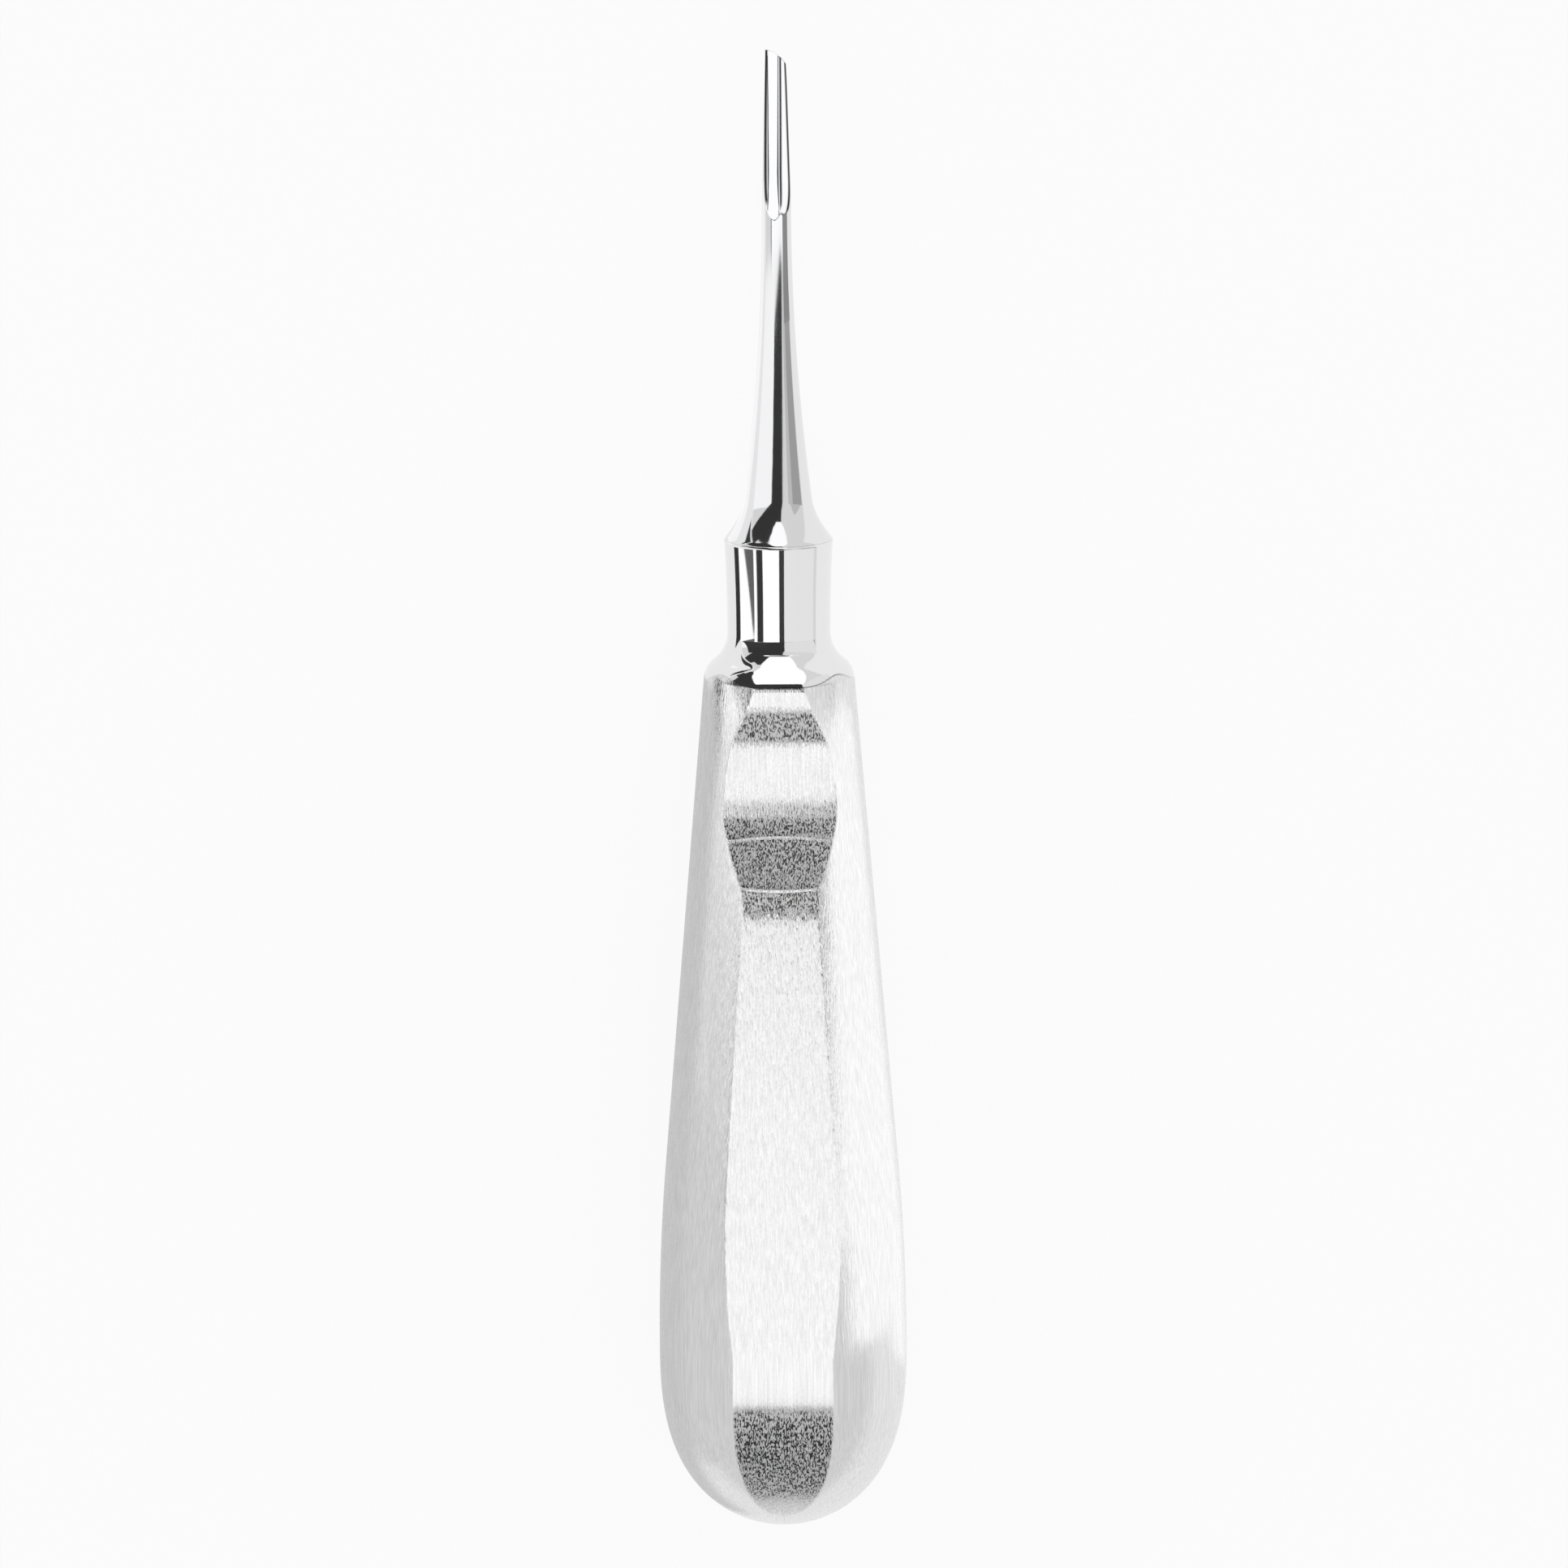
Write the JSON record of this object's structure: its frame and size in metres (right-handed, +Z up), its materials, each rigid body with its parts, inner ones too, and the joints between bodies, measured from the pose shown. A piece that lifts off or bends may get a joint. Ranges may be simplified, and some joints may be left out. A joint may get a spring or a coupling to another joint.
{
  "type": "dental root elevator",
  "caption": "Dental root elevator: narrow gouge blade on a slender tapered shank, with a hollow pear-shaped satin steel handle that has a flat and a thumb scoop on two sides.",
  "frame": {"origin": "under the middle of the instrument's length, on the surface that its back flat lies on", "axes": "+Y points along the instrument from the butt of the handle to the tip of the blade, +Z points up through the front flat, +X is to the right; the axis dips by the slope of the flat towards the tip"},
  "size_m": [0.024, 0.1448, 0.0222],
  "materials": {
    "polished_steel": "mirror-polished stainless steel",
    "satin_steel": "lengthwise satin-brushed stainless steel, polished at the neck"
  },
  "bodies": {
    "root": {"blade_and_shank": "polished_steel", "handle": "satin_steel"}
  },
  "joints": []
}
